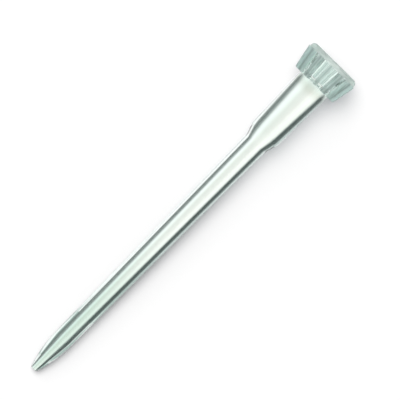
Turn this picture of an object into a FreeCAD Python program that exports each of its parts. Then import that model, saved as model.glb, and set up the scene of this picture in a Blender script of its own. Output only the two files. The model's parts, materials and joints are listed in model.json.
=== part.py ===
import FreeCAD, Part
import math
import os
from collections import namedtuple

import Sketcher

# Extra-long pipette tip for a small-volume pipette: one piece of moulded polypropylene.
#
# The tip is modelled along +X, open end at the origin and mouth at +X, as two bodies of
# revolution, one taken from the other: the outside with its nose, slender shaft, step, body and
# collar, and the bore with its drawn-in outlet, step, ledge, sealing land and lead-in. A window cut
# between two ribs of the collar is then repeated round the axis, and the mouth's inner edge is
# rounded. The body's Placement lays the tip down as it rests: on two neighbouring ribs and the
# curve of its nose, with a window facing the floor (Z = 0) and the box round it centred on Z.
#
# Every length is in millimetres and every angle in degrees. "along" is measured from the open
# end on the tip's own axis, and radii are measured from that axis.
SIZES = {
    # the outside, from the open end to the collar
    "total_length": 46.0,
    "end_radius": 0.40,
    "end_rounding": 0.08,
    "nose_along": 2.40,
    "nose_radius": 1.12,
    "nose_rounding": 15.0,
    "shaft_end_along": 33.95,
    "shaft_end_radius": 1.39,
    "body_start_along": 35.35,
    "body_start_radius": 1.85,
    "step_rounding": 1.20,
    "body_end_radius": 2.00,
    # the collar: ribs, the windows between them, and the rim
    "collar_foot_along": 42.70,
    "rib_foot_radius": 2.77,
    "rib_foot_rounding": 0.25,
    "rib_top_radius": 3.32,
    "rim_start_along": 45.40,
    "rim_radius": 3.18,
    "rim_rounding": 0.45,
    "rib_count": 13,
    "window_angle": 16.9,
    "root_radius": 2.10,
    "core_foot_along": 43.17,
    "core_foot_radius": 2.35,
    "core_top_radius": 2.75,
    # the bore, from the outlet to the mouth
    "outlet_radius": 0.27,
    "outlet_end_along": 4.50,
    "outlet_end_radius": 0.60,
    "outlet_rounding": 8.0,
    "capillary_end_along": 33.80,
    "capillary_end_radius": 0.89,
    "chamber_start_along": 35.50,
    "chamber_start_radius": 1.21,
    "bore_step_rounding": 1.0,
    "ledge_foot_along": 43.10,
    "ledge_foot_radius": 1.59,
    "land_start_along": 43.25,
    "land_end_along": 44.25,
    "land_radius": 1.75,
    "mouth_radius": 2.45,
    "mouth_rounding": 0.10,
    # how far a cutting profile reaches past what it cuts
    "cut_reach": 0.50,
}

# A corner of an outline: expressions for its place along the axis, its radius and its rounding.
Corner = namedtuple("Corner", "along radius rounding", defaults=[None])


def size(alias):
    """The expression that reads one size from the sheet."""
    return f"Sizes.{alias}"


def make_sheet(doc):
    """The spreadsheet of driving dimensions, one named cell for each size."""
    sheet = doc.addObject("Spreadsheet::Sheet", "Sizes")
    for row, (alias, number) in enumerate(SIZES.items(), start=1):
        sheet.set(f"A{row}", alias.replace("_", " "))
        sheet.set(f"B{row}", str(number))
        sheet.setAlias(f"B{row}", alias)
    doc.recompute()
    return sheet


def origin_feature(body, role):
    """One of the body's own origin planes or axes, found by its role."""
    return next(item for item in body.Origin.OriginFeatures if item.Role == role)


def add_sketch(body, name):
    """An empty sketch on the body's XZ plane, where the sketch's X axis is the tip's axis."""
    sketch = body.newObject("Sketcher::SketchObject", name)
    sketch.AttachmentSupport = (origin_feature(body, "XZ_Plane"), "")
    sketch.MapMode = "FlatFace"
    return sketch


def bind(sketch, kind, *where):
    """Adds a dimension whose last argument is an expression, and binds it to the sheet."""
    *where, expression = where
    number = float(sketch.evalExpression(expression))
    index = sketch.addConstraint(Sketcher.Constraint(kind, *where, number))
    sketch.setExpression(f"Constraints[{index}]", expression)


def place_point(sketch, geometry, position, corner):
    """Holds a point at a corner: on an axis of the sketch where the corner is, or at its sizes."""
    places = (("DistanceX", corner.along, -2), ("DistanceY", corner.radius, -1))
    for kind, expression, axis in places:
        if expression is None:
            sketch.addConstraint(Sketcher.Constraint("PointOnObject", geometry, position, axis))
        else:
            bind(sketch, kind, geometry, position, expression)


def rounding_at(before, point, after, radius):
    """The arc that rounds the corner at a point: its two ends on the lines, and the arc."""
    to_before = (before - point).normalize()
    to_after = (after - point).normalize()
    half_angle = to_before.getAngle(to_after) / 2
    reach = radius / math.tan(half_angle)
    centre = point + (to_before + to_after).normalize() * (radius / math.sin(half_angle))
    start, end = point + to_before * reach, point + to_after * reach
    turns_left = to_before.cross(to_after).z < 0
    first, last = (start, end) if turns_left else (end, start)
    angles = [math.atan2(p.y - centre.y, p.x - centre.x) for p in (first, last)]
    circle = Part.Circle(centre, FreeCAD.Vector(0, 0, 1), radius)
    return start, end, Part.ArcOfCircle(circle, *angles), turns_left


def draw_outline(sketch, corners):
    """Draws the closed outline through the corners, and returns each rounding's arc by corner."""
    points = []
    for corner in corners:
        coordinates = [
            float(sketch.evalExpression(e)) if e else 0.0 for e in (corner.along, corner.radius)
        ]
        points.append(FreeCAD.Vector(*coordinates, 0))
    count = len(corners)
    arrive, leave, arcs = list(points), list(points), {}
    for i, corner in enumerate(corners):
        if corner.rounding:
            radius = float(sketch.evalExpression(corner.rounding))
            arrive[i], leave[i], arc, turns_left = rounding_at(
                points[i - 1], points[i], points[(i + 1) % count], radius
            )
            arcs[i] = (sketch.addGeometry(arc), turns_left)
    lines = [
        sketch.addGeometry(Part.LineSegment(leave[i], arrive[(i + 1) % count]))
        for i in range(count)
    ]
    for i, corner in enumerate(corners):
        came, goes = lines[i - 1], lines[i]
        if i not in arcs:
            sketch.addConstraint(Sketcher.Constraint("Coincident", came, 2, goes, 1))
            place_point(sketch, goes, 1, corner)
            continue
        arc, turns_left = arcs[i]
        first, last = (1, 2) if turns_left else (2, 1)
        sketch.addConstraint(Sketcher.Constraint("Tangent", came, 2, arc, first))
        sketch.addConstraint(Sketcher.Constraint("Tangent", arc, last, goes, 1))
        bind(sketch, "Radius", arc, corner.rounding)
        apex = sketch.addGeometry(Part.Point(points[i]), True)
        for line in (came, goes):
            sketch.addConstraint(Sketcher.Constraint("PointOnObject", apex, 1, line))
        place_point(sketch, apex, 1, corner)
    return {i: arc for i, (arc, _) in arcs.items()}


def draw_floor(sketch, nose_arc):
    """Draws the line that the tip rests on, and measures how the tip's axis lies above it.

    It touches the nose's arc and the tops of the two lowest ribs, which a window's half angle
    turns away from straight down. Its slope and its height under the open end only follow.
    """
    touch = Corner(
        size("rim_start_along"), f"{size('rib_top_radius')} * cos({size('window_angle')} / 2)"
    )
    nose = sketch.Geometry[nose_arc]
    heel = nose.Center + FreeCAD.Vector(0, nose.Radius, 0)
    toe = FreeCAD.Vector(*[float(sketch.evalExpression(e)) for e in touch[:2]], 0)
    floor = sketch.addGeometry(Part.LineSegment(heel, toe), True)
    place_point(sketch, floor, 2, touch)
    sketch.addConstraint(Sketcher.Constraint("Tangent", floor, 1, nose_arc))
    measures = (
        ("lay_angle", Sketcher.Constraint("Angle", floor, 0.05)),
        ("end_height", Sketcher.Constraint("Distance", -1, 1, floor, 1.0)),
    )
    for name, constraint in measures:
        index = sketch.addConstraint(constraint)
        sketch.setDriving(index, False)
        sketch.renameConstraint(index, name)


def add_outside(body):
    """The outside form: nose, shaft, step, body, ribs not yet parted, and rim."""
    sketch = add_sketch(body, "OutsideOutline")
    corners = [
        Corner(None, None),
        Corner(None, size("end_radius"), size("end_rounding")),
        Corner(size("nose_along"), size("nose_radius"), size("nose_rounding")),
        Corner(size("shaft_end_along"), size("shaft_end_radius"), size("step_rounding")),
        Corner(size("body_start_along"), size("body_start_radius"), size("step_rounding")),
        Corner(size("collar_foot_along"), size("body_end_radius")),
        Corner(size("collar_foot_along"), size("rib_foot_radius"), size("rib_foot_rounding")),
        Corner(size("rim_start_along"), size("rib_top_radius")),
        Corner(size("rim_start_along"), size("rim_radius")),
        Corner(size("total_length"), size("rim_radius"), size("rim_rounding")),
        Corner(size("total_length"), None),
    ]
    arcs = draw_outline(sketch, corners)
    draw_floor(sketch, arcs[2])
    outside = body.newObject("PartDesign::Revolution", "Outside")
    outside.Profile = sketch
    outside.ReferenceAxis = (sketch, ["H_Axis"])
    outside.Angle = 360
    return outside


def add_bore(body):
    """The bore: drawn-in outlet, capillary, step, chamber, ledge, sealing land and lead-in."""
    sketch = add_sketch(body, "BoreOutline")
    corners = [
        Corner(None, None),
        Corner(None, size("outlet_radius")),
        Corner(size("outlet_end_along"), size("outlet_end_radius"), size("outlet_rounding")),
        Corner(
            size("capillary_end_along"), size("capillary_end_radius"), size("bore_step_rounding")
        ),
        Corner(
            size("chamber_start_along"), size("chamber_start_radius"), size("bore_step_rounding")
        ),
        Corner(size("ledge_foot_along"), size("ledge_foot_radius")),
        Corner(size("land_start_along"), size("land_radius")),
        Corner(size("land_end_along"), size("land_radius")),
        Corner(size("total_length"), size("mouth_radius")),
        Corner(size("total_length"), None),
    ]
    draw_outline(sketch, corners)
    bore = body.newObject("PartDesign::Groove", "Bore")
    bore.Profile = sketch
    bore.ReferenceAxis = (sketch, ["H_Axis"])
    bore.Angle = 360
    return bore


def add_windows(body):
    """The windows between the ribs, open towards the collar's foot, the first half a pitch up."""
    sketch = add_sketch(body, "WindowOutline")
    sketch.AttachmentOffset = FreeCAD.Placement(
        FreeCAD.Vector(), FreeCAD.Rotation(FreeCAD.Vector(1, 0, 0), 180 / SIZES["rib_count"])
    )
    sketch.setExpression("AttachmentOffset.Rotation.Angle", f"180 deg / {size('rib_count')}")
    below_foot = f"{size('collar_foot_along')} - {size('cut_reach')}"
    past_ribs = f"{size('rib_top_radius')} + {size('cut_reach')}"
    corners = [
        Corner(below_foot, size("root_radius")),
        Corner(size("core_foot_along"), size("root_radius")),
        Corner(size("core_foot_along"), size("core_foot_radius")),
        Corner(size("rim_start_along"), size("core_top_radius")),
        Corner(size("rim_start_along"), past_ribs),
        Corner(below_foot, past_ribs),
    ]
    draw_outline(sketch, corners)
    window = body.newObject("PartDesign::Groove", "Window")
    window.Profile = sketch
    window.ReferenceAxis = (sketch, ["H_Axis"])
    window.setExpression("Angle", size("window_angle"))
    window.Midplane = True
    body.Document.recompute()
    windows = body.newObject("PartDesign::PolarPattern", "Windows")
    windows.Originals = [window]
    windows.Axis = (origin_feature(body, "X_Axis"), [""])
    windows.Angle = 360
    windows.setExpression("Occurrences", size("rib_count"))
    body.Tip = windows
    return windows


def circular_edge(shape, along, radius):
    """The name of the circular edge at a place along the axis with a given radius."""
    for index, edge in enumerate(shape.Edges, start=1):
        curve = edge.Curve
        if (
            isinstance(curve, Part.Circle)
            and abs(curve.Center.x - along) < 1e-6
            and abs(curve.Radius - radius) < 1e-6
        ):
            return f"Edge{index}"
    raise ValueError(f"no circular edge of radius {radius} at {along}")


def round_mouth(body, base):
    """Rounds the inner edge of the mouth, where a nozzle enters."""
    edge = circular_edge(base.Shape, SIZES["total_length"], SIZES["mouth_radius"])
    rounding = body.newObject("PartDesign::Fillet", "MouthRounding")
    rounding.Base = (base, [edge])
    rounding.setExpression("Radius", size("mouth_rounding"))
    return rounding


def lay_down(body):
    """Turns and lifts the body so that it rests on the floor, centred over the origin."""
    angle = "OutsideOutline.Constraints.lay_angle"
    body.setExpression(
        "Placement",
        f"placement(vector(-{size('total_length')} * cos({angle}) / 2; 0;"
        f" OutsideOutline.Constraints.end_height); rotation(vector(0; -1; 0); {angle}))",
    )


def check(doc, body):
    """Stops if any object failed to recompute, or if the body isn't one valid solid."""
    for item in doc.Objects:
        failed = {"Invalid", "Error"} & set(item.State)
        if failed:
            raise RuntimeError(f"{item.Label} is {', '.join(sorted(failed))}")
    shape = body.Shape
    if shape.isNull() or not shape.isValid() or len(shape.Solids) != 1:
        raise RuntimeError(f"{body.Label} isn't one valid solid")


def cut_volume(before, after, name):
    """How much a cut took away, which must be more than nothing."""
    volume = before.Shape.Volume - after.Shape.Volume
    if volume <= 0:
        raise RuntimeError(f"the {name} took nothing away")
    return volume


def main():
    doc = FreeCAD.newDocument("PipetteTip")
    make_sheet(doc)
    body = doc.addObject("PartDesign::Body", "PipetteTip")
    body.Label = "pipette_tip"
    outside = add_outside(body)
    bore = add_bore(body)
    doc.recompute()
    windows = add_windows(body)
    doc.recompute()
    add_rounding = round_mouth(body, windows)
    lay_down(body)
    doc.recompute()
    check(doc, body)
    print("bore takes", round(cut_volume(outside, bore, "bore"), 2), "mm3")
    print("windows take", round(cut_volume(bore, windows, "windows"), 2), "mm3")
    print("mouth rounding takes", round(cut_volume(windows, add_rounding, "rounding"), 3), "mm3")
    outline = doc.getObject("OutsideOutline")
    print("lies at", outline.getDatum("lay_angle"), "end height", outline.getDatum("end_height"))
    print("volume", round(body.Shape.Volume, 2), "mm3, box", body.Shape.BoundBox)
    os.makedirs("parts", exist_ok=True)
    body.Shape.exportStep(os.path.join("parts", f"{body.Label}.step"))


main()
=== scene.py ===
"""Dresses and lights an extra-long pipette tip: one clear moulded piece lying on a pale floor."""

import json
import logging
import math
from dataclasses import dataclass, field
from enum import Enum

import bpy
import numpy as np
from mathutils import Matrix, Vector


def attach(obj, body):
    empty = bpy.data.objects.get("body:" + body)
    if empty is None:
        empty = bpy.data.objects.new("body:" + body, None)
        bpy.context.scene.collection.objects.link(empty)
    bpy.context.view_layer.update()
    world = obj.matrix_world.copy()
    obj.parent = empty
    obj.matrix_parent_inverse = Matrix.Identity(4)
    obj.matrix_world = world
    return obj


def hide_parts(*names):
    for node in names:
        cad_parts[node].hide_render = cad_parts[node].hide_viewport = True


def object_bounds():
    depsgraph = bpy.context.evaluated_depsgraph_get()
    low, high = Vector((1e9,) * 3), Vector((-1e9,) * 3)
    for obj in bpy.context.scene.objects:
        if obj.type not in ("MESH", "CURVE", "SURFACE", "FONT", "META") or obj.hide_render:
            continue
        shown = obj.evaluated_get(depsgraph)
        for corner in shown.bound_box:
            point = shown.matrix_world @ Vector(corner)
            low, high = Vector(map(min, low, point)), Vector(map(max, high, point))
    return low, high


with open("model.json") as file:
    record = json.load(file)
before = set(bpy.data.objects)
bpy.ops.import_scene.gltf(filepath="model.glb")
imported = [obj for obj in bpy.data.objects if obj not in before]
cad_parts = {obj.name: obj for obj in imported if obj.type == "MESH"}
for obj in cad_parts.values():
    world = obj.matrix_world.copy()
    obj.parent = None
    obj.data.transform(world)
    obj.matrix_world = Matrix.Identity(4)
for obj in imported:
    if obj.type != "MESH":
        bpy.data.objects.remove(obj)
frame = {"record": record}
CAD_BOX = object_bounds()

MM = 0.001
WHITE = (1.0, 1.0, 1.0)
BODY = "root"
NODE = "pipette_tip"

Colour = tuple[float, float, float]
Edge = tuple[float, float]
Feed = float | tuple | bpy.types.NodeSocket

logging.basicConfig(level=logging.INFO, format="%(message)s")
log = logging.getLogger("pipette_tip")


class Ray(Enum):
    """The kinds of light path that a finish can tell apart, by their socket on Light Path."""

    CAMERA = "Is Camera Ray"
    SHADOW = "Is Shadow Ray"
    DIFFUSE = "Is Diffuse Ray"
    THROUGH = "Is Transmission Ray"
    GLOSSY = "Is Glossy Ray"
    GLOSSY_DEPTH = "Glossy Depth"
    THROUGH_DEPTH = "Transmission Depth"


class Cut(Enum):
    """Where the tip's section is taken."""

    WINDOW = "between two ribs"
    RIB = "along a rib"


@dataclass(frozen=True)
class Corner:
    """One corner of the tip's section, in millimetres.

    along and radius place it on a rib, and wherever the section is round. The window values
    place the same corner between two ribs, where it sits elsewhere.
    """

    along: float
    radius: float
    rounding: float = 0.0
    window_along: float | None = None
    window_radius: float | None = None

    def place(self, cut: Cut) -> tuple[float, float]:
        """Works out where the corner is in a section.

        Args:
            cut: Where the section is taken.

        Returns:
            The corner's distance from the open end, and from the axis.
        """
        if cut is Cut.RIB:
            return self.along, self.radius
        along = self.along if self.window_along is None else self.window_along
        radius = self.radius if self.window_radius is None else self.window_radius
        return along, radius


@dataclass(frozen=True)
class Collar:
    """The ribs round the tip's mouth, and the conical core that they stand on.

    Sizes are in millimetres and angles in degrees, and along is measured from the open end. The
    windows between the ribs start a little farther on than the ribs do, and stop at the rim.
    """

    rib_count: int = 13
    window_angle: float = 16.9
    rib_side_angle: float = 1.0
    foot_along: float = 42.70
    top_along: float = 45.40
    rib_foot_radius: float = 2.77
    rib_top_radius: float = 3.32
    rib_foot_rounding: float = 0.25
    root_radius: float = 2.10
    core_foot_along: float = 43.17
    core_foot_radius: float = 2.35
    core_top_radius: float = 2.75

    def half_pitch(self) -> float:
        """Returns half the angle from one rib to the next."""
        return 180 / self.rib_count

    def core_slope(self) -> float:
        """Returns how much the core's radius grows along each millimetre."""
        length = self.top_along - self.core_foot_along
        return (self.core_top_radius - self.core_foot_radius) / length

    def corners(self, body_radius: float, rim_radius: float) -> list[Corner]:
        """Works out the section's corners from the body's end to the rim.

        A rib's top is a straight line from its foot to its end. It has a corner over the core's
        foot too, so that both sections have the same corners.

        Args:
            body_radius: The body's radius where the ribs start.
            rim_radius: The plain rim's radius.

        Returns:
            The corners in order, away from the open end.
        """
        foot, top, core_foot = self.foot_along, self.top_along, self.core_foot_along
        climb = self.rib_top_radius - self.rib_foot_radius
        over_core_foot = self.rib_foot_radius + climb * (core_foot - foot) / (top - foot)
        rib_foot = Corner(
            foot,
            self.rib_foot_radius,
            rounding=self.rib_foot_rounding,
            window_along=core_foot,
            window_radius=self.root_radius,
        )
        return [
            Corner(foot, body_radius),
            Corner(foot, self.root_radius),
            rib_foot,
            Corner(core_foot, over_core_foot, window_radius=self.core_foot_radius),
            Corner(top, self.rib_top_radius, window_radius=self.core_top_radius),
            Corner(top, rim_radius),
        ]


@dataclass(frozen=True)
class Lie:
    """How the tip lies on the floor: its own frame, read from its two mounts."""

    open_end: np.ndarray
    along: np.ndarray
    side: np.ndarray
    up: np.ndarray

    @classmethod
    def from_mounts(cls, length: float) -> "Lie":
        """Works out the frame from the nozzle's seat and the ejector's face.

        Args:
            length: The tip's whole length in millimetres.

        Returns:
            The frame. The mouth's centre is where the seat's axis meets the ejector's face, and
            the open end lies the tip's length behind it.
        """
        mounts = {mount["name"]: mount for mount in frame["record"]["mounts"]}
        seat = np.array(mounts["nozzle_seat"]["pos_m"])
        face = np.array(mounts["ejector_face"]["pos_m"])
        along = np.array(mounts["nozzle_seat"]["axis"])
        along = along / np.linalg.norm(along)
        side = np.array([0.0, 1.0, 0.0])
        mouth = seat + along * ((face - seat) @ along)
        return cls(mouth - along * length * MM, along, side, np.cross(along, side))

    def place(self, along: np.ndarray, radius: np.ndarray, angle: np.ndarray) -> np.ndarray:
        """Turns the tip's own coordinates into the shared frame.

        A point is the open end, plus along times the axis, plus radius times the direction that
        angle turns to from straight down, round the axis.

        Args:
            along: Distance from the open end, in millimetres.
            radius: Distance from the axis, in millimetres.
            angle: Angle from straight down, in radians.

        Returns:
            The points in metres, with the three coordinates in the last place.
        """
        out = np.cos(angle)[..., None] * -self.up + np.sin(angle)[..., None] * self.side
        offset = along[..., None] * self.along + radius[..., None] * out
        return self.open_end + MM * offset


class Drawing:
    """Adds nodes to a node tree, each fed by sockets, numbers or colours."""

    def __init__(self, tree: bpy.types.NodeTree) -> None:
        """Empties the tree and starts drawing in it."""
        self.tree = tree
        tree.nodes.clear()

    def feed(self, socket: bpy.types.NodeSocket, value: Feed) -> None:
        """Links a socket to an input, or sets the input to a number or a colour.

        Args:
            socket: The input.
            value: What it is fed.
        """
        if isinstance(value, bpy.types.NodeSocket):
            self.tree.links.new(value, socket)
        elif isinstance(value, tuple) and socket.type == "RGBA":
            socket.default_value = (*value, 1.0)
        else:
            socket.default_value = value

    def feed_named(self, node: bpy.types.Node, inputs: dict[str, Feed]) -> bpy.types.Node:
        """Feeds a node's inputs by name.

        Args:
            node: The node.
            inputs: What each input is fed, by its name with _ for a space.

        Returns:
            The node.
        """
        for name, value in inputs.items():
            self.feed(node.inputs[name.replace("_", " ")], value)
        return node

    def feed_in_order(self, node: bpy.types.Node, values: tuple[Feed, ...]) -> bpy.types.Node:
        """Feeds a node's first inputs in order.

        Args:
            node: The node.
            values: What they are fed.

        Returns:
            The node.
        """
        for socket, value in zip(node.inputs, values):
            self.feed(socket, value)
        return node

    def node(self, kind: str, **inputs: Feed) -> bpy.types.Node:
        """Adds a node, feeds its inputs by name with _ for a space, and returns it."""
        return self.feed_named(self.tree.nodes.new(kind), inputs)

    def shared(self, group: bpy.types.NodeTree, **inputs: Feed) -> bpy.types.Node:
        """Adds a node group and feeds its inputs.

        Args:
            group: The group's own tree.
            **inputs: What each input is fed, by its name with _ for a space.

        Returns:
            The node that stands for the group.
        """
        node = self.tree.nodes.new("ShaderNodeGroup")
        node.node_tree = group
        return self.feed_named(node, inputs)

    def compute(self, operation: str, *values: Feed) -> bpy.types.NodeSocket:
        """Adds a Math node.

        Args:
            operation: What the node works out.
            *values: What its inputs are fed, in order.

        Returns:
            The result.
        """
        node = self.tree.nodes.new("ShaderNodeMath")
        node.operation = operation
        return self.feed_in_order(node, values).outputs["Value"]

    def vector(self, operation: str, *values: Feed) -> bpy.types.Node:
        """Adds a Vector Math node.

        Args:
            operation: What the node works out.
            *values: What its inputs are fed, in order.

        Returns:
            The node, with the outputs Vector and Value.
        """
        node = self.tree.nodes.new("ShaderNodeVectorMath")
        node.operation = operation
        return self.feed_in_order(node, values)

    def between(self, share: Feed, at_none: float, at_full: float) -> bpy.types.NodeSocket:
        """Adds a number that goes from one value to another as a share goes from 0 to 1."""
        return self.compute("MULTIPLY_ADD", share, at_full - at_none, at_none)

    def rise(self, value: Feed, edge: Edge) -> bpy.types.NodeSocket:
        """Adds a smooth rise from 0 to 1 as a value crosses an edge.

        Args:
            value: The value.
            edge: Where the rise starts and where it ends.

        Returns:
            The rise.
        """
        start, end = edge
        node = self.node("ShaderNodeMapRange", Value=value, From_Min=start, From_Max=end)
        node.interpolation_type = "SMOOTHSTEP"
        return node.outputs["Result"]

    def mix(self, share: Feed, first: Feed, second: Feed, blend: str = "MIX") -> bpy.types.NodeSocket:
        """Mixes two colours by a share, or blends the second over the first.

        Args:
            share: How much of the second colour there is.
            first: The first colour.
            second: The second colour.
            blend: The kind of blend.

        Returns:
            The mixed colour.
        """
        node = self.tree.nodes.new("ShaderNodeMix")
        node.data_type = "RGBA"
        node.blend_type = blend
        self.feed(node.inputs["Factor"], share)
        colours = [socket for socket in node.inputs if socket.type == "RGBA"]
        self.feed(colours[0], first)
        self.feed(colours[1], second)
        return next(socket for socket in node.outputs if socket.type == "RGBA")

    def shader_mix(self, share: Feed, first: Feed, second: Feed) -> bpy.types.NodeSocket:
        """Mixes two shaders by a share.

        Args:
            share: How much of the second shader there is.
            first: The first shader.
            second: The second shader.

        Returns:
            The mixed shader.
        """
        node = self.tree.nodes.new("ShaderNodeMixShader")
        return self.feed_in_order(node, (share, first, second)).outputs["Shader"]


def group_tree(name: str, inputs: dict[str, str | float], outputs: dict[str, str]) -> bpy.types.NodeTree:
    """Makes an empty node group with named sockets.

    Args:
        name: The group's name.
        inputs: Each input's kind by its name: Vector, Color, Float, or a number, which is the
            value of a Float that is fed nothing.
        outputs: Each output's kind by its name.

    Returns:
        The group's tree.
    """
    tree = bpy.data.node_groups.new(name, "ShaderNodeTree")
    for label, kind in inputs.items():
        number = None if isinstance(kind, str) else kind
        socket = tree.interface.new_socket(
            label, in_out="INPUT", socket_type="NodeSocket" + (kind if number is None else "Float")
        )
        if number is not None:
            socket.default_value = number
    for label, kind in outputs.items():
        tree.interface.new_socket(label, in_out="OUTPUT", socket_type="NodeSocket" + kind)
    return tree


@dataclass(frozen=True)
class HazeNodes:
    """The shared effect of moulded clear plastic: streaks of flow along the piece, and haze."""

    name: str = "MouldedHaze"
    streak_scale: float = 900.0
    streak_detail: float = 3.0
    drawn_out: tuple[float, float, float] = (0.06, 1.0, 1.0)
    haze_scale: float = 2500.0
    roughness: float = 0.05
    spread: float = 0.03
    mean_of_both: float = 1.0

    def group(self) -> bpy.types.NodeTree:
        """Builds the node group, or returns the one that was built before.

        Noise drawn out along X gives the flow's streaks, and a finer, even noise gives haze. The
        roughness is its base value, moved up and down by the two noises' sum less its mean. The
        height is the streaks alone.

        Returns:
            The group, with named inputs and outputs.
        """
        if self.name in bpy.data.node_groups:
            return bpy.data.node_groups[self.name]
        inputs = {
            "Vector": "Vector",
            "Streak Scale": self.streak_scale,
            "Haze Scale": self.haze_scale,
            "Roughness": self.roughness,
            "Spread": self.spread,
        }
        tree = group_tree(self.name, inputs, {"Roughness": "Float", "Height": "Float"})
        draw = Drawing(tree)
        entry = draw.node("NodeGroupInput").outputs
        streak = draw.node(
            "ShaderNodeTexNoise",
            Vector=draw.vector("MULTIPLY", entry["Vector"], self.drawn_out).outputs["Vector"],
            Scale=entry["Streak Scale"],
            Detail=self.streak_detail,
        )
        haze = draw.node("ShaderNodeTexNoise", Vector=entry["Vector"], Scale=entry["Haze Scale"])
        both = draw.compute("ADD", streak.outputs["Fac"], haze.outputs["Fac"])
        centred = draw.compute("SUBTRACT", both, self.mean_of_both)
        rough = draw.compute("MULTIPLY_ADD", centred, entry["Spread"], entry["Roughness"])
        draw.node("NodeGroupOutput", Roughness=rough, Height=streak.outputs["Fac"])
        return tree


@dataclass(frozen=True)
class RibMistAndShadeNodes:
    """The shared effect of a cut mould: its ribs and rim are duller than the polished faces.

    The ribs get painted shade as well, darker down the middle of each, and the rim doesn't. Edges
    are in metres, along the tip from its open end or out from its core. middle is an edge in
    pitches of the ribs, from the middle of one.
    """

    name: str = "RibMist"
    collar: Collar = Collar()
    foot: Edge = (42.60 * MM, 42.75 * MM)
    rim: Edge = (45.30 * MM, 45.50 * MM)
    mouth: Edge = (45.50 * MM, 45.70 * MM)
    over_core: Edge = (0.02 * MM, 0.12 * MM)
    middle: Edge = (0.03, 0.10)

    def group(self) -> bpy.types.NodeTree:
        """Builds the node group, or returns the one that was built before.

        The tip's own frame is needed: X along it from the open end. A place is on the ribs where
        it is past their foot and outside the core. Its angle from straight down, in pitches of
        the ribs, has a fraction of a half in the middle of a rib.

        Returns:
            The group, which adds to a roughness and paints shade into the colour on the ribs.
        """
        if self.name in bpy.data.node_groups:
            return bpy.data.node_groups[self.name]
        inputs = {
            "Vector": "Vector",
            "Roughness": "Float",
            "Mist": "Float",
            "Color": "Color",
            "Rib Color": "Color",
            "Middle Color": "Color",
        }
        tree = group_tree(self.name, inputs, {"Roughness": "Float", "Color": "Color"})
        draw = Drawing(tree)
        entry = draw.node("NodeGroupInput").outputs
        split = draw.node("ShaderNodeSeparateXYZ", Vector=entry["Vector"]).outputs
        along = split["X"]
        outer = self.outside(draw, entry["Vector"], along)
        ribs = draw.compute("MULTIPLY", outer, draw.rise(along, self.foot))
        rough = draw.compute("MULTIPLY_ADD", ribs, entry["Mist"], entry["Roughness"])
        # Painted shade: past the foot and before the rim, the ribs take the rib colour, darker in the
        # middle of each.
        before_rim = draw.compute("SUBTRACT", 1.0, draw.rise(along, self.rim))
        shaded_ribs = draw.compute("MULTIPLY", ribs, before_rim)
        turn = draw.compute("ARCTAN2", split["Y"], draw.compute("MULTIPLY", split["Z"], -1.0))
        pitches = draw.compute("MULTIPLY", turn, self.collar.rib_count / math.tau)
        aside = draw.compute("SUBTRACT", draw.compute("FRACT", pitches), 0.5)
        side = draw.rise(draw.compute("ABSOLUTE", aside), self.middle)
        rib = draw.mix(side, entry["Middle Color"], entry["Rib Color"])
        colour = draw.mix(shaded_ribs, entry["Color"], rib)
        draw.node("NodeGroupOutput", Roughness=rough, Color=colour)
        return tree

    def outside(self, draw: Drawing, place: Feed, along: Feed) -> bpy.types.NodeSocket:
        """Tells the ribs and the mouth from the core.

        The core's radius grows in proportion to the distance past its foot.

        Args:
            draw: The group's drawing.
            place: The place in the tip's own frame.
            along: Its distance from the open end.

        Returns:
            A share of 1 farther from the axis than the core is, and everywhere past the mouth's
            edge.
        """
        across = draw.vector("MULTIPLY", place, (0.0, 1.0, 1.0)).outputs["Vector"]
        radius = draw.vector("LENGTH", across).outputs["Value"]
        past = draw.compute("SUBTRACT", along, self.collar.core_foot_along * MM)
        foot_radius = self.collar.core_foot_radius * MM
        core = draw.compute("MULTIPLY_ADD", past, self.collar.core_slope(), foot_radius)
        over = draw.compute("SUBTRACT", radius, core)
        return draw.compute("MAXIMUM", draw.rise(over, self.over_core), draw.rise(along, self.mouth))


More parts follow.
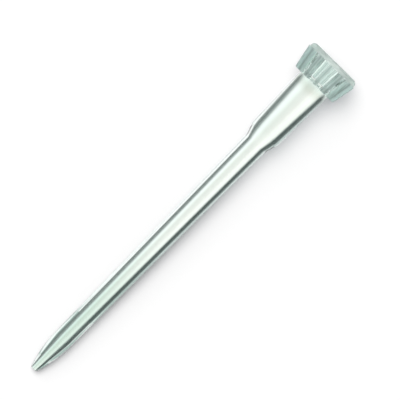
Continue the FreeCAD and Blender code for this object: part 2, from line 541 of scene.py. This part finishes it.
@dataclass(frozen=True)
class ClearPolypropylene:
    """Clear natural polypropylene, glossy from the mould and faintly grey-green where thick."""

    name: str = "ClearPolypropylene"
    colour: Colour = (0.97, 0.99, 0.98)
    refraction: float = 1.49
    roughness: float = 0.05
    roughness_spread: float = 0.04
    rib_mist: float = 0.75
    # Painted shade on the ribs: the rib colour greys them, and the middle colour darkens the middle of
    # each more.
    rib_shade_colour: Colour = (0.77, 0.86, 0.85)
    rib_middle_shade: Colour = (0.45, 0.53, 0.52)
    bump_height: float = 0.02 * MM
    bump_strength: float = 0.10
    depth_colour: Colour = (0.72, 0.90, 0.82)
    depth_density: float = 130.0
    nose_shadow: Colour = (0.48, 0.485, 0.495)
    shadow_colour: Colour = (0.77, 0.775, 0.785)
    shadow_change: Edge = (10.0 * MM, 40.0 * MM)

    def material(self, lie: Lie, collar: Collar) -> bpy.types.Material:
        """Builds the material.

        Light passes through and bends, and the plastic between the two faces takes a little of
        it. A ray for shadow, or from a matt face, goes straight on through a grey veil instead,
        so the shadow stays pale.

        Args:
            lie: The tip's frame, which turns the pattern into line with its axis.
            collar: The collar, whose ribs are duller than the rest.

        Returns:
            The material, with its pattern in Object coordinates.
        """
        finish = bpy.data.materials.new(self.name)
        finish.use_nodes = True
        draw = Drawing(finish.node_tree)
        local = self.local(draw, lie)
        veil = self.veil(draw, local)
        path = draw.node("ShaderNodeLightPath").outputs
        seen = draw.shader_mix(path[Ray.DIFFUSE.value], self.plastic(draw, local, collar), veil)
        surface = draw.shader_mix(path[Ray.SHADOW.value], seen, veil)
        depth = draw.node(
            "ShaderNodeVolumeAbsorption", Color=self.depth_colour, Density=self.depth_density
        )
        draw.node("ShaderNodeOutputMaterial", Surface=surface, Volume=depth.outputs["Volume"])
        return finish

    def local(self, draw: Drawing, lie: Lie) -> bpy.types.NodeSocket:
        """Turns Object coordinates into the tip's own frame, with X along it from the open end.

        Args:
            draw: The material's drawing.
            lie: The tip's frame.

        Returns:
            The place in the tip's own frame.
        """
        turn = draw.node(
            "ShaderNodeMapping",
            Vector=draw.node("ShaderNodeTexCoord").outputs["Object"],
            Rotation=(0.0, math.asin(lie.along[2]), 0.0),
            Location=tuple(-float(lie.open_end @ axis) for axis in (lie.along, lie.side, lie.up)),
        )
        return turn.outputs["Vector"]

    def plastic(self, draw: Drawing, local: Feed, collar: Collar) -> bpy.types.NodeSocket:
        """Adds the clear plastic's shader, with haze, faint streaks, duller ribs and painted shade on
        the ribs.

        Args:
            draw: The material's drawing.
            local: The place in the tip's own frame.
            collar: The collar.

        Returns:
            The shader.
        """
        haze = draw.shared(
            HazeNodes().group(), Vector=local, Roughness=self.roughness, Spread=self.roughness_spread
        )
        ribs = draw.shared(
            RibMistAndShadeNodes(collar=collar).group(),
            Vector=local,
            Roughness=haze.outputs["Roughness"],
            Mist=self.rib_mist,
            Color=self.colour,
            Rib_Color=self.rib_shade_colour,
            Middle_Color=self.rib_middle_shade,
        )
        bump = draw.node(
            "ShaderNodeBump",
            Height=haze.outputs["Height"],
            Strength=self.bump_strength,
            Distance=self.bump_height,
        )
        plastic = draw.node(
            "ShaderNodeBsdfPrincipled",
            Roughness=ribs.outputs["Roughness"],
            Normal=bump.outputs["Normal"],
            Base_Color=ribs.outputs["Color"],
            Metallic=0.0,
            IOR=self.refraction,
            Transmission_Weight=1.0,
        )
        return plastic.outputs["BSDF"]

    def veil(self, draw: Drawing, local: Feed) -> bpy.types.NodeSocket:
        """Adds the grey veil, which is darker at the nose than at the collar.

        Args:
            draw: The material's drawing.
            local: The place in the tip's own frame.

        Returns:
            The shader.
        """
        along = draw.node("ShaderNodeSeparateXYZ", Vector=local).outputs["X"]
        shade = draw.mix(draw.rise(along, self.shadow_change), self.nose_shadow, self.shadow_colour)
        return draw.node("ShaderNodeBsdfTransparent", Color=shade).outputs["BSDF"]


@dataclass
class PipetteTip:
    """The moulded tip: a slender stepped cone with a ribbed collar, bored from end to end.

    Every size is in millimetres. The corners are in the order in which they go round the
    section: out along the outside, over the rim, and back in the bore.
    """

    open_end: Corner = Corner(0.0, 0.40, rounding=0.08)
    nose: Corner = Corner(2.40, 1.12, rounding=15.0)
    shaft_top: Corner = Corner(33.95, 1.39, rounding=1.20)
    body_foot: Corner = Corner(35.35, 1.85, rounding=1.20)
    body_top_radius: float = 2.00
    collar: Collar = Collar()
    rim: Corner = Corner(46.0, 3.18, rounding=0.45)
    mouth: Corner = Corner(46.0, 2.45, rounding=0.10)
    land_top: Corner = Corner(44.25, 1.75)
    land_foot: Corner = Corner(43.25, 1.75)
    ledge: Corner = Corner(43.10, 1.59)
    body_bore_foot: Corner = Corner(35.50, 1.21, rounding=1.0)
    shaft_bore_top: Corner = Corner(33.80, 0.89, rounding=1.0)
    outlet_top: Corner = Corner(4.50, 0.60, rounding=8.0)
    outlet: Corner = Corner(0.0, 0.27)
    least_reach: float = 0.02
    corner_points: int = 9
    line_shares: tuple[float, ...] = (0.02, 0.35, 0.65, 0.98)
    window_steps: int = 4
    rib_side_steps: int = 4
    rib_steps: int = 3
    finish: ClearPolypropylene = field(default_factory=ClearPolypropylene)

    def length(self) -> float:
        """Returns the tip's whole length."""
        return self.rim.along - self.open_end.along

    def corners(self) -> list[Corner]:
        """Puts the section's corners in order.

        Returns:
            The corners, out along the outside and back in the bore.
        """
        outside = [self.open_end, self.nose, self.shaft_top, self.body_foot]
        ribbed = self.collar.corners(self.body_top_radius, self.rim.radius)
        seat = [self.rim, self.mouth, self.land_top, self.land_foot, self.ledge]
        bore = [self.body_bore_foot, self.shaft_bore_top, self.outlet_top, self.outlet]
        return outside + ribbed + seat + bore

    def section(self, cut: Cut) -> np.ndarray:
        """Works out the closed section as points.

        A corner is a conic from one of its lines to the other: with the corner's point between
        them weighted by the cosine of half the turn, it is an arc of a circle. Its ends lie the
        rounding times the tangent of half the turn away, and no nearer than the least reach.
        Between two corners there are points at fixed shares of the straight line.

        Args:
            cut: Where the section is taken.

        Returns:
            The points as rows of (along, radius).
        """
        corners = self.corners()
        apex = np.array([corner.place(cut) for corner in corners])
        rounding = np.array([corner.rounding for corner in corners])
        back, ahead = np.roll(apex, 1, axis=0) - apex, np.roll(apex, -1, axis=0) - apex
        back /= np.linalg.norm(back, axis=1, keepdims=True)
        ahead /= np.linalg.norm(ahead, axis=1, keepdims=True)
        half_turn = np.arccos(np.clip(-(back * ahead).sum(axis=1), -1, 1)) / 2
        reach = np.maximum(rounding * np.tan(half_turn), self.least_reach)
        arrive, leave = apex + back * reach[:, None], apex + ahead * reach[:, None]
        t = np.linspace(0, 1, self.corner_points)[None, :, None]
        weight = np.cos(half_turn)[:, None, None]
        parts = ((1 - t) ** 2, 2 * t * (1 - t) * weight, t**2)
        ends = (arrive[:, None], apex[:, None], leave[:, None])
        rounded = sum(p * e for p, e in zip(parts, ends, strict=True)) / sum(parts)
        following = np.roll(arrive, -1, axis=0)
        shares = np.array(self.line_shares)[None, :, None]
        line = leave[:, None] * (1 - shares) + following[:, None] * shares
        return np.concatenate([rounded, line], axis=1).reshape(-1, 2)

    def angles(self) -> tuple[np.ndarray, np.ndarray]:
        """Works out the lines of the surface round the axis, close together on a rib's sides.

        Returns:
            The angles from straight down in radians, and how much of a rib each line is: 0 in a
            window, 1 on a rib, and between them a smooth rise over the rib's side.
        """
        half_pitch = self.collar.half_pitch()
        rib_side = self.collar.rib_side_angle
        side_start = (self.collar.window_angle - rib_side) / 2
        side_end = side_start + rib_side
        half = np.concatenate(
            [
                np.linspace(0, side_start, self.window_steps, endpoint=False),
                np.linspace(side_start, side_end, self.rib_side_steps, endpoint=False),
                np.linspace(side_end, half_pitch, self.rib_steps, endpoint=False),
            ]
        )
        pitch = np.concatenate([half, [half_pitch], 2 * half_pitch - half[:0:-1]])
        rise = np.clip((half_pitch - abs(pitch - half_pitch) - side_start) / rib_side, 0, 1)
        share = rise**2 * (3 - 2 * rise)
        turns = np.arange(self.collar.rib_count) * 2 * half_pitch
        return np.radians((turns[:, None] + pitch).ravel()), np.tile(share, self.collar.rib_count)

    def surface(self, lie: Lie) -> np.ndarray:
        """Carries the section round the axis.

        A point is the window's section point and the rib's, mixed by how much of a rib its line
        is, and placed at its angle.

        Args:
            lie: The tip's frame.

        Returns:
            The points as an array of lines round the axis, points of the section, and x, y, z.
        """
        angle, share = self.angles()
        window, rib = self.section(Cut.WINDOW), self.section(Cut.RIB)
        share = share[:, None, None]
        mixed = window * (1 - share) + rib * share
        turn = np.broadcast_to(angle[:, None], mixed.shape[:2])
        return lie.place(mixed[..., 0], mixed[..., 1], turn)

    def build(self, lie: Lie) -> bpy.types.Object:
        """Makes the tip's mesh, one closed surface with its faces outwards.

        Args:
            lie: The tip's frame.

        Returns:
            The tip, riding on the body and standing for the CAD node.
        """
        tip = grid_object("tip_moulding", self.surface(lie))
        tip.data.materials.append(self.dress(lie))
        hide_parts(NODE)
        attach(tip, BODY)
        return tip

    def dress(self, lie: Lie) -> bpy.types.Material:
        """Returns the tip's finish, lined up with its axis."""
        return self.finish.material(lie, self.collar)


def grid_object(name: str, points: np.ndarray) -> bpy.types.Object:
    """Makes a mesh from a grid of points that closes on itself both ways.

    Each cell is one four-sided face. A point's normal is the sum of its four cells' normals, each
    as long as the cell is large, so that flat faces look flat beside small roundings.

    Args:
        name: The object's name.
        points: The grid, with x, y, z in the last place.

    Returns:
        The object, linked to the scene.
    """
    rows, columns = points.shape[:2]
    index = np.arange(rows * columns).reshape(rows, columns)
    right, below = np.roll(index, -1, axis=0), np.roll(index, -1, axis=1)
    across = np.roll(right, -1, axis=1)
    quads = np.stack([index, right, across, below], axis=-1).reshape(-1, 4)
    flat = points.reshape(-1, 3)
    corner = [flat[quads[:, k]] for k in range(4)]
    facing = np.cross(corner[2] - corner[0], corner[3] - corner[1]) / 2
    volume = (facing * (corner[0] + corner[2]) / 2).sum() / 3
    if volume < 0:
        quads, facing = quads[:, ::-1], -facing
    cell = facing.reshape(rows, columns, 3)
    normal = cell + np.roll(cell, 1, axis=0)
    normal = normal + np.roll(normal, 1, axis=1)
    normal = normal.reshape(-1, 3)
    normal /= np.linalg.norm(normal, axis=1, keepdims=True)
    mesh = bpy.data.meshes.new(name)
    mesh.from_pydata(flat.tolist(), [], quads.tolist())
    mesh.polygons.foreach_set("use_smooth", np.ones(len(quads), dtype=bool))
    mesh.normals_split_custom_set_from_vertices(normal.tolist())
    mesh.update()
    made = bpy.data.objects.new(name, mesh)
    bpy.context.scene.collection.objects.link(made)
    return made


class FloorDrawing(Drawing):
    """A drawing that knows where each place on the floor lies under the tip.

    height is how high the tip's axis is over the place, and ratio is the place's distance to one
    side of the axis, over that height. turned is 1 for a ray that the plastic mirrored at least
    once, and crossed is 1 for one that passed at least three of its faces. Both are told from a
    count by a threshold between two whole numbers.
    """

    mirrored_once: float = 0.5
    passed_thrice: float = 2.5

    def __init__(self, tree: bpy.types.NodeTree, lie: Lie) -> None:
        """Empties the tree and draws what the rest of the floor's finish needs.

        Args:
            tree: The node tree.
            lie: The tip's frame.
        """
        super().__init__(tree)
        self.start = lie.open_end[0]
        place = self.node("ShaderNodeTexCoord").outputs["Object"]
        split = self.node("ShaderNodeSeparateXYZ", Vector=place).outputs
        self.x = split["X"]
        slope = lie.along[2] / lie.along[0]
        at_middle = lie.open_end[2] - slope * self.start
        height = self.compute("MULTIPLY_ADD", self.x, slope, at_middle)
        self.height = self.compute("MAXIMUM", height, lie.open_end[2])
        self.ratio = self.compute("DIVIDE", split["Y"], self.height)
        self.path = self.node("ShaderNodeLightPath").outputs
        mirrored, passed = self.path[Ray.GLOSSY_DEPTH.value], self.path[Ray.THROUGH_DEPTH.value]
        self.turned = self.compute("GREATER_THAN", mirrored, self.mirrored_once)
        self.crossed = self.compute("GREATER_THAN", passed, self.passed_thrice)

    def rise_along(self, edge: Edge) -> bpy.types.NodeSocket:
        """Adds a smooth rise at an edge along the tip, in millimetres from its open end."""
        return self.rise(self.x, tuple(self.start + along * MM for along in edge))

    def stretch_along(self, rising: Edge, falling: Edge) -> bpy.types.NodeSocket:
        """Adds a smooth rise at one edge along the tip and a smooth fall at the other."""
        return self.compute("SUBTRACT", self.rise_along(rising), self.rise_along(falling))


@dataclass(frozen=True)
class PaleFloorWithPaintedLight:
    """A matt white table, with painted light and shade on it that only rays bent by the plastic see.

    Straight to the eye the floor is plain white and keeps the shadow. Only bent rays find the
    rest: painted light and shade, which glow, lit by no lamp, and stand for the light and dark
    that a clear tip throws under itself:

    Rays that crossed the bore find painted bands of light, and painted dark beyond them, darker
    on the shadow side. Rays in the wall find painted light on the tip's lit side and painted
    shadow on its other side, and the ones turned back find painted dark a little farther out.
    Both get a painted green-grey shade over the nose, where the axis is low. Everything gets a
    painted shade at the collar's foot, nears one darker painted tone under the collar, and is
    white past the tip's two ends.

    Places across the tip are the drawing's ratio, and places along it are in millimetres from
    its open end. An edge is where a change starts and where it ends.
    """

    name: str = "PaleFloorPaintedLight"
    colour: Colour = WHITE
    gain: float = 1.12
    # Painted light: bands that stand for the light the tip bends and focuses onto the floor under it.
    bands: tuple[tuple[float, Colour], ...] = (
        (-0.52, (0.96, 0.96, 0.92)),
        (-0.38, (1.08, 1.03, 1.00)),
        (-0.20, (0.99, 0.97, 0.94)),
        (0.00, (0.88, 0.89, 0.85)),
        (0.15, (0.85, 0.87, 0.82)),
        (0.33, (0.96, 1.00, 0.98)),
        (0.45, (0.94, 0.98, 0.98)),
    )
    through_edge: Edge = (0.46, 1.04)
    through_shift: float = -0.045
    # Painted dark beyond the light, darker on the shadow side.
    dark_left: Colour = (0.145, 0.178, 0.168)
    dark_right: Colour = (0.042, 0.066, 0.060)
    dark_change: Edge = (-0.3, 0.3)
    # Painted light on the tip's lit side of the wall, painted shadow on its other side.
    wall_lit_side: Colour = (1.01, 1.00, 1.01)
    wall_shadow_side: Colour = (0.42, 0.49, 0.48)
    wall_change: Edge = (-0.1, 0.1)
    turned_edge: Edge = (0.70, 1.15)
    turned_shift: float = 0.22
    far_edge: Edge = (5.0, 8.0)
    # Painted shade over the nose, tinted green-grey, where the axis is low; the lit side of the wall
    # takes a share of it.
    low_shade_tint: Colour = (0.76, 0.87, 0.82)
    low_heights: Edge = (1.25 * MM, 2.05 * MM)
    lit_side_shade_share: float = 0.3
    nose_edges: tuple[Edge, Edge] = ((1.6, 1.9), (6.5, 9.0))
    body_edge: Edge = (34.3, 36.0)
    body_reach: float = 0.10
    foot_edges: tuple[Edge, Edge] = ((41.0, 42.5), (42.6, 43.0))
    foot_shade: Colour = (0.74, 0.76, 0.70)
    collar_edge: Edge = (41.7, 42.9)
    # A darker painted tone under the collar.
    collar_shade_tone: Colour = (0.84, 0.92, 0.89)
    collar_blend: float = 0.80
    end_edges: tuple[Edge, Edge] = ((-0.3, 0.5), (45.5, 46.2))

    def material(self, lie: Lie) -> bpy.types.Material:
        """Builds the floor's material.

        Args:
            lie: The tip's frame, which gives the axis's height over the floor at each place.

        Returns:
            The material.
        """
        finish = bpy.data.materials.new(self.name)
        finish.use_nodes = True
        draw = FloorDrawing(finish.node_tree, lie)
        thrown = self.lengthwise(draw, self.crosswise(draw))
        # Rays through the plastic see painted light: the floor glows in the painted colours, lit by no
        # lamp.
        light = draw.node("ShaderNodeEmission", Color=thrown, Strength=self.gain)
        matt = draw.node("ShaderNodeBsdfDiffuse", Color=self.colour)
        look = draw.shader_mix(
            draw.path[Ray.THROUGH.value], matt.outputs["BSDF"], light.outputs["Emission"]
        )
        draw.node("ShaderNodeOutputMaterial", Surface=look)
        return finish

    def crosswise(self, draw: FloorDrawing) -> bpy.types.NodeSocket:
        """Works out the painted light and shade across the tip: the bore's, the wall's, and white far
        out.

        Args:
            draw: The floor's drawing.

        Returns:
            The light's colour.
        """
        # Painted green-grey shade where the axis is low, over the nose.
        low = draw.mix(draw.rise(draw.height, self.low_heights), self.low_shade_tint, WHITE)
        # Painted dark, darker on the shadow side.
        dark = draw.mix(draw.rise(draw.ratio, self.dark_change), self.dark_right, self.dark_left)
        body = draw.rise_along(self.body_edge)
        bands = self.bore_light(draw, body, low, dark)
        wall = self.wall_light(draw, body, low, dark)
        thrown = draw.mix(draw.compute("SUBTRACT", draw.crossed, draw.turned), wall, bands)
        far = draw.rise(draw.compute("ABSOLUTE", draw.ratio), self.far_edge)
        straight = draw.compute("SUBTRACT", 1.0, draw.turned)
        return draw.mix(draw.compute("MULTIPLY", far, straight), thrown, WHITE)

    def bore_light(self, draw: FloorDrawing, body: Feed, low: Feed, dark: Feed) -> bpy.types.NodeSocket:
        """Works out what rays that crossed the bore find: painted bands of light, and dark beyond them.

        Args:
            draw: The floor's drawing.
            body: How far the place is under the wider body, where the bands reach farther out.
            low: The painted green-grey shade where the axis is low.
            dark: The painted dark beyond the bands.

        Returns:
            The light's colour.
        """
        bands = draw.mix(1.0, self.ramp(draw), low, "MULTIPLY")
        out = draw.compute("ABSOLUTE", draw.compute("SUBTRACT", draw.ratio, self.through_shift))
        out = draw.compute("MULTIPLY_ADD", body, -self.body_reach, out)
        return draw.mix(draw.rise(out, self.through_edge), bands, dark)

    def wall_light(self, draw: FloorDrawing, body: Feed, low: Feed, dark: Feed) -> bpy.types.NodeSocket:
        """Works out what rays in the wall find: painted light and shadow, one on each side, and dark
        farther out.

        A ray that was turned back lands on the other side than one that wasn't, so the two tones
        change places for it, and once more in the nose.

        Args:
            draw: The floor's drawing.
            body: How far the place is under the wider body, where the dark is centred.
            low: The painted green-grey shade where the axis is low.
            dark: The painted dark farther out.

        Returns:
            The light's colour.
        """
        nose = draw.between(draw.stretch_along(*self.nose_edges), 1.0, -1.0)
        side = draw.compute("MULTIPLY", draw.between(draw.turned, -1.0, 1.0), nose)
        left = draw.rise(draw.compute("MULTIPLY", draw.ratio, side), self.wall_change)
        # Painted shadow and painted light for the wall's two sides, each with the painted shade over the
        # nose.
        shadow_side_tone = draw.mix(1.0, self.wall_shadow_side, low, "MULTIPLY")
        lit_side_tone = draw.mix(self.lit_side_shade_share, self.wall_lit_side, low, "MULTIPLY")
        wall = draw.mix(left, shadow_side_tone, lit_side_tone)
        shift = draw.between(body, -self.turned_shift, 0.0)
        out = draw.compute("ABSOLUTE", draw.compute("ADD", draw.ratio, shift))
        beside = draw.compute("MULTIPLY", draw.rise(out, self.turned_edge), draw.turned)
        return draw.mix(beside, wall, dark)

    def lengthwise(self, draw: FloorDrawing, thrown: Feed) -> bpy.types.NodeSocket:
        """Changes the painted light along the tip: painted shade at the collar's foot, a darker painted
        tone under it, and white past the ends.

        Args:
            draw: The floor's drawing.
            thrown: The light's colour before the change.

        Returns:
            The light's colour.
        """
        shaded = draw.mix(1.0, thrown, self.foot_shade, "MULTIPLY")
        thrown = draw.mix(draw.stretch_along(*self.foot_edges), thrown, shaded)
        collar = draw.compute("MULTIPLY", draw.rise_along(self.collar_edge), self.collar_blend)
        thrown = draw.mix(collar, thrown, self.collar_shade_tone)
        return draw.mix(draw.stretch_along(*self.end_edges), WHITE, thrown)

    def ramp(self, draw: FloorDrawing) -> bpy.types.NodeSocket:
        """Adds the painted bands of light as a colour ramp over the ratio from -1 to 1.

        Args:
            draw: The floor's drawing.

        Returns:
            The bands' colour.
        """
        place = draw.compute("MULTIPLY_ADD", draw.ratio, 0.5, 0.5)
        node = draw.node("ShaderNodeValToRGB", Fac=place)
        stops = node.color_ramp.elements
        for index, (at, colour) in enumerate(self.bands):
            position = at / 2 + 0.5
            stop = stops[index] if index < len(stops) else stops.new(position)
            stop.position = position
            stop.color = (*colour, 1.0)
        node.color_ramp.interpolation = "B_SPLINE"
        return node.outputs["Color"]


@dataclass
class Floor:
    """The pale floor that the tip lies on, a stage and no part of the object, in metres."""

    half_width: float = 3.0
    # The finish paints light and shade on the floor, which only rays bent by the plastic see.
    finish: PaleFloorWithPaintedLight = field(default_factory=PaleFloorWithPaintedLight)

    def build(self, lie: Lie) -> bpy.types.Object:
        """Makes the floor, a flat square at the height of the object's lowest point.

        Args:
            lie: The tip's frame, which the floor's finish follows.

        Returns:
            The floor.
        """
        low = CAD_BOX[0][2]
        sides = np.array([[-1, -1], [1, -1], [1, 1], [-1, 1]]) * self.half_width
        points = np.column_stack([sides, np.full(4, low)])
        mesh = bpy.data.meshes.new("floor")
        mesh.from_pydata(points.tolist(), [], [(0, 1, 2, 3)])
        mesh.update()
        floor = bpy.data.objects.new("floor", mesh)
        bpy.context.scene.collection.objects.link(floor)
        floor.data.materials.append(self.finish.material(lie))
        return floor


@dataclass(frozen=True)
class Lamp:
    """One soft distant lamp: where it stands, how wide it looks, and how much light it gives.

    bearing is counted from +X towards +Y, and every angle is in degrees.
    """

    name: str
    bearing: float
    from_overhead: float
    width: float
    light: float
    mirrored: bool = True

    def build(self) -> bpy.types.Object:
        """Makes the lamp.

        Returns:
            The lamp. The plastic shows it only if it is mirrored.
        """
        data = bpy.data.lights.new(self.name, "SUN")
        data.energy = self.light
        data.angle = math.radians(self.width)
        lamp = bpy.data.objects.new(self.name, data)
        lamp.rotation_euler = (0.0, math.radians(self.from_overhead), math.radians(self.bearing))
        lamp.visible_glossy = self.mirrored
        lamp.visible_transmission = self.mirrored
        bpy.context.scene.collection.objects.link(lamp)
        return lamp


@dataclass
class Studio:
    """Lamps, surroundings and camera, with places in metres and angles in degrees."""

    lamps: tuple[Lamp, ...] = (
        Lamp("key", bearing=60.0, from_overhead=15.5, width=42.0, light=2.40, mirrored=False),
        Lamp("low_key", bearing=60.0, from_overhead=59.0, width=52.0, light=0.60, mirrored=False),
        Lamp("streak", bearing=90.0, from_overhead=40.0, width=8.0, light=0.05),
    )
    surround: float = 0.20
    white_up_to: Edge = (0.45, 1.0)
    lens_mm: float = 300.0
    sensor_mm: float = 36.0
    frame_width: float = 42.7 * MM
    picture_angle: float = 45.42
    aim: tuple[float, float, float] = (2.4 * MM, 0.0, 2.1 * MM)
    clip: tuple[float, float] = (0.01, 20.0)

    def build(self) -> None:
        """Makes everything, in order."""
        for lamp in self.lamps:
            lamp.build()
        self.surroundings()
        self.camera()
        bpy.context.scene.view_settings.view_transform = "Standard"

    def surroundings(self) -> bpy.types.World:
        """Makes the world: an even pale grey that lights, and white where a camera looks at it.

        Rays that pass through the plastic, or are mirrored in it, see it white near the horizon
        and grey overhead.

        Returns:
            The world.
        """
        world = bpy.data.worlds.new("surroundings")
        world.use_nodes = True
        draw = Drawing(world.node_tree)
        path = draw.node("ShaderNodeLightPath").outputs
        place = draw.node("ShaderNodeTexCoord").outputs["Generated"]
        height = draw.node("ShaderNodeSeparateXYZ", Vector=place).outputs["Z"]
        low = draw.compute("SUBTRACT", 1.0, draw.rise(height, self.white_up_to))
        bent = draw.compute("MAXIMUM", path[Ray.THROUGH.value], path[Ray.GLOSSY.value])
        white = draw.compute("MAXIMUM", path[Ray.CAMERA.value], draw.compute("MULTIPLY", low, bent))
        strength = draw.between(white, self.surround, 1.0)
        sky = draw.node("ShaderNodeBackground", Color=WHITE, Strength=strength)
        draw.node("ShaderNodeOutputWorld", Surface=sky.outputs["Background"])
        bpy.context.scene.world = world
        return world

    def camera(self) -> bpy.types.Object:
        """Makes the camera, straight over the tip, with the picture turned so the tip lies askew.

        Returns:
            The camera, which is made the scene's.
        """
        data = bpy.data.cameras.new("camera")
        data.lens = self.lens_mm
        data.sensor_width = self.sensor_mm
        data.clip_start, data.clip_end = self.clip
        distance = self.frame_width * self.lens_mm / self.sensor_mm
        turn = math.radians(self.picture_angle)
        right = (math.cos(turn), -math.sin(turn), 0.0)
        above = (math.sin(turn), math.cos(turn), 0.0)
        towards = (0.0, 0.0, 1.0)
        x, y, z = self.aim
        camera = bpy.data.objects.new("camera", data)
        facing = Matrix((right, above, towards)).transposed().to_4x4()
        camera.matrix_world = Matrix.Translation((x, y, z + distance)) @ facing
        bpy.context.scene.collection.objects.link(camera)
        bpy.context.scene.camera = camera
        return camera


def main() -> None:
    """Builds the tip, its floor and its studio, and reports each piece."""
    tip = PipetteTip()
    lie = Lie.from_mounts(tip.length())
    piece = tip.build(lie)
    log.info("%s: %d faces", piece.name, len(piece.data.polygons))
    floor = Floor().build(lie)
    log.info("%s at %.6f m", floor.name, CAD_BOX[0][2])
    Studio().build()


if __name__ == "__main__":
    main()
